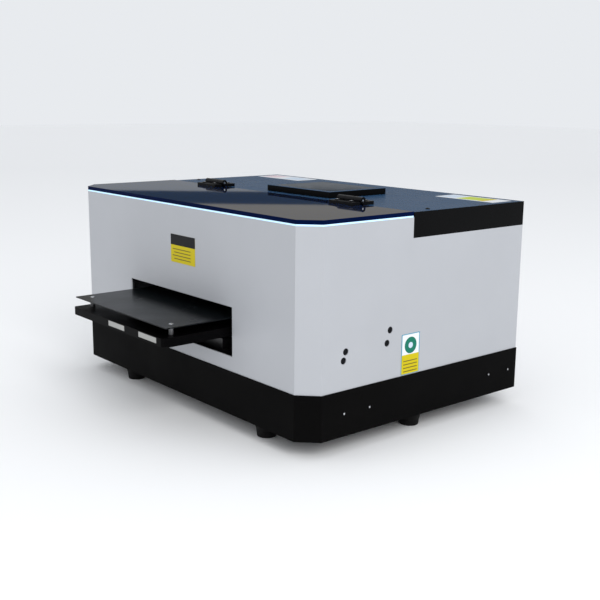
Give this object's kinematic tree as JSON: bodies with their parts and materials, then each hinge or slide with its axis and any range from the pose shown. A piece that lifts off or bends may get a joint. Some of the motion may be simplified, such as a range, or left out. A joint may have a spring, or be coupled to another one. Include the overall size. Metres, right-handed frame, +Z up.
{
  "type": "flatbed printer",
  "caption": "Desktop flatbed UV printer with a white cabinet, black base, tinted hinged lid, raised touch panel and a print bed that slides out of a front slot.",
  "frame": {"origin": "centre of the bounding box, at the floor under the feet", "axes": "+X across the front (operator's right), +Y to the rear, +Z up; the front slot faces -Y"},
  "size_m": [0.5624, 0.5043, 0.3061],
  "materials": {
    "black_steel": "satin",
    "white_steel": "fine texture",
    "pale_seal": "satin",
    "tinted_acrylic": "high gloss",
    "black_hinge": "satin",
    "bright_steel": "satin",
    "black_rubber": "matt",
    "panel_glass": "gloss",
    "black_plastic": "matt",
    "label_film": "satin",
    "aluminium": "satin",
    "black_motor": "satin",
    "clear_bottle": "gloss",
    "ink_cap": "gloss",
    "zinc_case": "satin",
    "circuit_board": "satin",
    "brass": "satin",
    "anodised_black": "satin",
    "white_plastic": "satin",
    "head_plastic": "matt",
    "red_plastic": "gloss"
  },
  "bodies": {
    "chassis": {"base_tray": "black_steel", "body_shell": "white_steel", "rear_panel": "white_steel", "rear_cover": "black_steel", "lid_seal": "pale_seal", "hinge_rear_leaves": "black_hinge", "hinge_pins": "bright_steel", "hinge_rear_screws": "bright_steel", "screen_bezel": "black_plastic", "screen_glass": "panel_glass", "feet": "black_rubber", "foot_bolts": "bright_steel", "base_screws": "bright_steel", "cover_screws": "bright_steel", "side_plugs": "black_plastic", "labels": "label_film", "gantry_uprights": "aluminium", "gantry_beam": "aluminium", "x_rail": "bright_steel", "x_motor": "black_motor", "x_belt": "black_rubber", "cap_station": "black_plastic", "cap_seals": "black_rubber", "ink_rack": "aluminium", "ink_bottles": "clear_bottle", "bottle_caps": "ink_cap", "power_supply": "zinc_case", "main_board": "circuit_board", "fan_frame": "black_plastic", "fan_guard": "bright_steel", "power_inlet": "black_plastic", "usb_port": "bright_steel", "z_guide_rods": "bright_steel", "z_motors": "black_motor"},
    "lid": {"lid_panel": "tinted_acrylic", "hinge_front_leaves": "black_hinge", "hinge_front_screws": "bright_steel"},
    "bed_stage": {"stage_frame": "aluminium", "y_rails": "bright_steel", "y_motor": "black_motor", "z_bushings": "brass"},
    "y_screw_body": {"y_screw": "bright_steel"},
    "z_screw_left_body": {"z_screw_left": "bright_steel"},
    "z_screw_right_body": {"z_screw_right": "bright_steel"},
    "bed": {"bed_carrier": "anodised_black", "bed_plate": "anodised_black", "bed_standoffs": "bright_steel", "bed_screws": "bright_steel", "carrier_inserts": "aluminium", "rail_blocks": "bright_steel", "screw_nut": "brass"},
    "print_carriage": {"carriage_frame": "aluminium", "head_cover": "white_plastic", "print_heads": "head_plastic", "uv_lamp": "black_motor", "x_bearing_block": "bright_steel"},
    "x_drive_body": {"x_drive_pulley": "aluminium"},
    "x_idler_body": {"x_idler_pulley": "aluminium"},
    "fan_rotor_body": {"fan_rotor": "black_plastic"},
    "power_rocker_body": {"power_rocker": "red_plastic"}
  },
  "joints": [
    {"name": "lid_hinge", "type": "hinge", "parent": "chassis", "child": "lid", "pos_m": [0, 0.0235, 0.3016], "axis": [-1, 0, 0], "range_deg": [0, 100]},
    {"name": "bed_lift", "type": "slide", "parent": "chassis", "child": "bed_stage", "axis": [0, 0, 1], "range_m": [-0.02, 0]},
    {"name": "bed_travel", "type": "slide", "parent": "bed_stage", "child": "bed", "axis": [0, 1, 0], "range_m": [0, 0.24]},
    {"name": "y_screw_spin", "type": "hinge", "parent": "bed_stage", "child": "y_screw_body", "pos_m": [0, -0.133, 0.114], "axis": [0, 1, 0], "range_deg": [-10, 4330]},
    {"name": "z_screw_left_spin", "type": "hinge", "parent": "chassis", "child": "z_screw_left_body", "pos_m": [-0.168, 0.045, 0.053], "axis": [0, 0, 1], "range_deg": [-1805, 5]},
    {"name": "z_screw_right_spin", "type": "hinge", "parent": "chassis", "child": "z_screw_right_body", "pos_m": [0.168, 0.045, 0.053], "axis": [0, 0, 1], "range_deg": [-1805, 5]},
    {"name": "carriage_travel", "type": "slide", "parent": "chassis", "child": "print_carriage", "axis": [1, 0, 0], "range_m": [-0.34, 0]},
    {"name": "x_drive_spin", "type": "hinge", "parent": "chassis", "child": "x_drive_body", "pos_m": [0.226, 0.11, 0.255], "axis": [0, 0, 1], "range_deg": [-2440, 5]},
    {"name": "x_idler_spin", "type": "hinge", "parent": "chassis", "child": "x_idler_body", "pos_m": [-0.226, 0.11, 0.255], "axis": [0, 0, 1], "range_deg": [-2440, 5]},
    {"name": "fan_spin", "type": "hinge", "parent": "chassis", "child": "fan_rotor_body", "pos_m": [0.19, 0.236, 0.173], "axis": [0, 1, 0], "continuous": true},
    {"name": "power_rocker_tilt", "type": "hinge", "parent": "chassis", "child": "power_rocker_body", "pos_m": [-0.162, 0.244, 0.053], "axis": [1, 0, 0], "range_deg": [-8, 8]}
  ],
  "couplings": [
    {"joint": "y_screw_spin", "follows": "bed_travel", "rad_per_m": 314.16},
    {"joint": "z_screw_left_spin", "follows": "bed_lift", "rad_per_m": 1570.8},
    {"joint": "z_screw_right_spin", "follows": "bed_lift", "rad_per_m": 1570.8},
    {"joint": "x_drive_spin", "follows": "carriage_travel", "rad_per_m": 125},
    {"joint": "x_idler_spin", "follows": "carriage_travel", "rad_per_m": 125}
  ]
}
